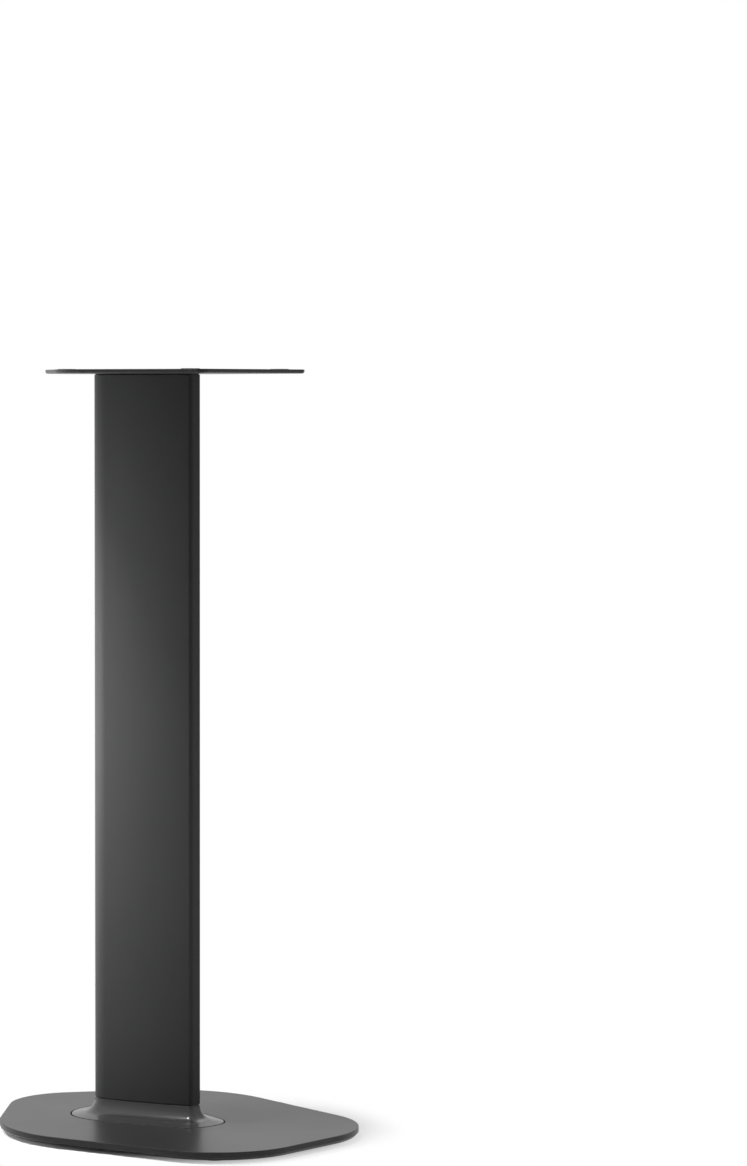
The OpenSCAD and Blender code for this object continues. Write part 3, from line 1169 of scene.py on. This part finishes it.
@dataclass(frozen=True)
class BasePlate(Part):
    """The egg-shaped steel plate at the bottom."""

    column: Column
    width: float = 301.0
    depth: float = 376.0
    low: float = 3.0
    high: float = 11.0
    front_flat: float = 73.0
    front_r: float = 89.0
    side_r: float = 122.0
    side_back: float = 31.0
    rear_r: float = 70.0
    under: float = 3.0
    under_r: Pair = (0.5, 1.0)
    edge: float = 0.9
    pocket: float = 4.0
    pocket_grow: float = 24.7
    bevel: float = 0.3

    def arcs(self) -> tuple[Arc, ...]:
        """Find the circles of the outline."""
        side_x, rear_y = self.width / 2 - self.side_r, self.depth / 2 - self.rear_r
        return mirrored(
            Arc(self.front_flat / 2, self.front_r - self.depth / 2, self.front_r),
            Arc(side_x, self.side_back, self.side_r),
            Arc(0, rear_y, self.rear_r),
        )

    def feet(self) -> list[Foot]:
        """Find the feet that are screwed into the plate.

        Returns:
            The feet, front left, front right, rear left and rear right.
        """
        front, side = self.arcs()[1:3]
        return [
            Foot(self.shop, end + hand, (sign * (arc.x + x * arc.r), arc.y + y * arc.r))
            for end, arc, x, y in (("f", front, 0.51, -0.415), ("r", side, 0.463, 0.598))
            for hand, sign in (("l", -1), ("r", 1))
        ]

    def build(self, feet: Sequence[Foot]) -> None:
        """Build and dress the plate.

        Args:
            feet: the feet that are screwed into it.
        """
        low, high, bevel, inward = self.low, self.high, self.bevel, -12
        corners = [(inward, low, 0), (-self.under, low, self.under_r[0])]
        corners += [(0, low + self.under, self.under_r[1]), (0, high, self.edge), (inward, high, 0)]
        rings = Outline(self.arcs(), 1.5).rings(rounded(corners, steps=6))
        plate = skin("base_plate_coated", rings)
        grow, rim, seat, lip = self.pocket_grow, 0.25, low + SEAT, SINK_R + 0.25
        pocket = [(grow, high - self.pocket), (grow, high - rim)]
        pocket += [(grow + rim, high), (grow + rim, high + OVER)]
        cuts = [skin("cutter", self.column.outline().rings(pocket))]
        sink = [(lip, low - OVER), (lip, low), (SINK_R, seat)]
        sink += [(PASS_R, seat + SINK), (PASS_R, high)]
        cuts += bores(sink, self.column.ports, 48)
        foot_r, r = feet[0].radius + feet[0].recess_room, feet[0].stud_r + feet[0].play
        recess, end = feet[0].recess, feet[0].stud_end + 0.2
        hole = [
            (foot_r + bevel, low - OVER), (foot_r + bevel, low), (foot_r, low + bevel),
            (foot_r, recess), (r + bevel, recess), (r, recess + bevel), (r, end),
        ]
        cuts += bores(hole, [foot.place for foot in feet], 96)
        self.shop.dress(smooth(carve(plate, cuts)), Look.PLATE, "root", "base_plate")


@dataclass(frozen=True)
class TopPlate(Part):
    """The thin plate that carries the speaker, with its soft pads."""

    column: Column
    low: float = 741.0
    high: float = 745.0
    width: float = 209.0
    depth: float = 237.5
    front_w: float = 156.0
    back: float = 3.0
    corner_r: float = 10.0
    side_r: float = 60.0
    side_back: float = 23.0
    rear_flat: float = 60.0
    rear_r: float = 33.0
    under_r: float = 2.45
    edge_r: float = 0.6
    bolts: Pair = (120.0, 100.0)
    bolt_r: float = 3.25
    bevel: float = 0.3
    pad_r: float = 9.0
    pad_t: float = 0.6
    pad_x_shares: Pair = (-0.62, 0.62)
    pad_y_shares: Pair = (-0.78, 0.58)

    def outline(self) -> Outline:
        """Find the plate's outline.

        Returns:
            The outline.
        """
        front, rear = self.back - self.depth / 2, self.back + self.depth / 2
        return Outline(mirrored(
            Arc(self.front_w / 2 - self.corner_r, front + self.corner_r, self.corner_r),
            Arc(self.width / 2 - self.side_r, self.back + self.side_back, self.side_r),
            Arc(self.rear_flat / 2, rear - self.rear_r, self.rear_r),
        ))

    def build(self) -> None:
        """Build and dress the plate."""
        low, high, inward = self.low, self.high, -5
        corners = [(inward, low, 0), (0, low, self.under_r)]
        corners += [(0, high, self.edge_r), (inward, high, 0)]
        plate = skin("top_plate_coated", self.outline().rings(rounded(corners, 0.3, 8)))
        r, bevel = self.bolt_r, self.bevel
        hole = [(r + bevel, low - OVER), (r + bevel, low), (r, low + bevel)]
        hole += [(r, high - bevel), (r + bevel, high), (r + bevel, high + OVER)]
        wide, deep = self.bolts
        places = [(x, y) for x in (-wide / 2, wide / 2) for y in (-deep / 2, deep / 2)]
        seat, lip = high - SEAT, SINK_R + 0.2
        sink = [(PASS_R, low - OVER), (PASS_R, seat - SINK), (SINK_R, seat)]
        sink += [(lip, high), (lip, high + OVER)]
        cuts = bores(hole, places, 48) + bores(sink, self.column.ports, 48)
        self.shop.dress(smooth(carve(plate, cuts)), Look.PLATE, "root", "top_plate")

    def build_pads(self) -> None:
        """Build and dress the soft pads."""
        r, t = self.pad_r, self.pad_t
        edge = [(r - 1.5, 0, 0), (r, 0, 0.12), (r, 0.92 * t, 0.4), (0.55 * r, t, 0)]
        pattern = smooth(skin("pad", turned(rounded(edge, hold=0.1, steps=4))))
        spots = [(x, y) for y in self.pad_y_shares for x in self.pad_x_shares]
        wide, deep = self.width / 2, self.depth / 2
        points = [Vector((x * wide, self.back + y * deep, self.high)) for x, y in spots]
        made = self.shop.set_out(pattern, "speaker_pads", points, Look.PAD)
        self.shop.dress(made, Look.PAD, "root", "top_pads")


# Studio


@dataclass(frozen=True)
class Lamp:
    """A soft rectangular lamp. One without sheen isn't mirrored in the surfaces it lights."""

    name: str
    at: Triple
    aim: Triple
    size: Pair
    power: float
    sheen: bool = True

    def build(self) -> None:
        """Hang the lamp, where the camera doesn't see it."""
        data = bpy.data.lights.new(self.name, "AREA")
        data.shape = "RECTANGLE"
        data.size, data.size_y = self.size
        data.energy = self.power
        lamp = link(bpy.data.objects.new(self.name, data))
        lamp.location = self.at
        way = Vector(self.aim) - Vector(self.at)
        lamp.rotation_euler = way.to_track_quat("-Z", "Y").to_euler()
        lamp.visible_camera = False
        lamp.visible_glossy = self.sheen


@dataclass(frozen=True)
class Studio:
    """The pale floor, the soft light and the camera.

    Places and ranges are in metres, the floor's own two sizes in millimetres.
    """

    camera_at: Triple = (-2.90801, -2.64501, 0.71965)
    yaw: float = 41.66464
    pitch: float = 2.66156
    lens: float = 124.44794
    shift: float = 0.14
    room: Pair = (0.012, 0.06)
    floor_half: float = 40000.0
    floor_deep: float = 20.0
    floor_grey: float = 0.82
    floor_fade: Pair = (0.12, 0.24)
    lamps: tuple[Lamp, ...] = (
        Lamp("left_near_box", (-0.25, 0.33, 0.4), (0.0, 0.0, 0.4), (0.2, 0.24), 5.6, False),
        Lamp("left_high_box", (-1.3, 0.4, 1.5), (0.0, 0.0, 0.45), (0.6, 0.6), 0.5),
        Lamp("overhead_box", (-0.33, 0.22, 1.6), (0.0, 0.0, 0.05), (0.12, 0.12), 13.0),
        Lamp("front_strip", (0.38, -0.78, 0.38), (0.0, 0.0, 0.38), (0.08, 0.3), 3.2, False),
        Lamp("right_soft_box", (1.3, 0.4, 1.2), (0.0, 0.0, 0.45), (0.6, 0.8), 2.2),
    )

    def build_floor(self) -> None:
        """Lay the floor, which fades to white away from the stand."""
        half, deep = self.floor_half, self.floor_deep
        floor = block((-half, -half, -deep), (half, half, 0), "studio_floor")
        paint = bpy.data.materials.new("pale_floor")
        nodes = Nodes.fresh(paint)
        where = nodes.add("ShaderNodeTexCoord").outputs["Object"]
        far = nodes.spread(nodes.vector("LENGTH", where), *self.floor_fade, 0.0, 1.0)
        grey = (self.floor_grey, self.floor_grey, self.floor_grey, 1.0)
        plain = nodes.out("ShaderNodeBsdfDiffuse", {"Color": grey})
        white = nodes.out("ShaderNodeEmission", {"Color": WHITE, "Strength": 1.0})
        inputs = {0: nodes.times(far, nodes.shown()), 1: plain, 2: white}
        mix = nodes.out("ShaderNodeMixShader", inputs)
        nodes.add("ShaderNodeOutputMaterial", {"Surface": mix})
        floor.data.materials.append(paint)

    def build_world(self) -> None:
        """Light the room dimly, and show white where the camera and the gloss look."""
        world = bpy.data.worlds.new("studio")
        bpy.context.scene.world = world
        nodes = Nodes.fresh(world)
        way = nodes.add("ShaderNodeTexCoord").outputs["Generated"]
        up = nodes.add("ShaderNodeSeparateXYZ", {0: way}).outputs["Z"]
        level = nodes.spread(up, 0.0, 1.0, *self.room)
        room, white = (
            nodes.out("ShaderNodeBackground", {"Color": WHITE, "Strength": strength})
            for strength in (level, 1.0)
        )
        mix = nodes.out("ShaderNodeMixShader", {0: nodes.shown(), 1: room, 2: white})
        nodes.add("ShaderNodeOutputWorld", {"Surface": mix})

    def build_camera(self) -> None:
        """Set up the camera at the photograph's angle."""
        data = bpy.data.cameras.new("camera")
        data.lens, data.sensor_width, data.shift_x = self.lens, 36.0, self.shift
        camera = link(bpy.data.objects.new("camera", data))
        yaw, pitch = math.radians(self.yaw), math.radians(self.pitch)
        flat = math.cos(pitch)
        way = Vector((math.cos(yaw) * flat, math.sin(yaw) * flat, -math.sin(pitch)))
        right = way.cross(Vector((0, 0, 1))).normalized()
        camera.rotation_euler = Matrix((right, right.cross(way), -way)).transposed().to_euler()
        camera.location = self.camera_at
        bpy.context.scene.camera = camera

    def build(self) -> None:
        """Build the whole studio."""
        bpy.context.scene.view_settings.view_transform = "Standard"
        self.build_camera()
        self.build_floor()
        self.build_world()
        for lamp in self.lamps:
            lamp.build()


def main() -> None:
    """Build the stand and the studio."""
    logging.basicConfig(level=logging.INFO, format="%(message)s")
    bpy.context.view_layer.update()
    shop = Workshop()
    column = Column(shop)
    collar, base, top = Collar(shop, column), BasePlate(shop, column), TopPlate(shop, column)
    feet = base.feet()
    base.build(feet)
    collar.build_gasket()
    collar.build()
    column.build_gaskets()
    column.build()
    column.build_grommets()
    top.build()
    top.build_pads()
    Screws(shop, column, "base_countersunk_screws", "base_screws", base.low + SEAT, False).build()
    Screws(shop, column, "top_countersunk_screws", "top_screws", top.high - SEAT, True).build()
    for foot in feet:
        foot.build()
    Studio().build()


if __name__ == "__main__":
    main()
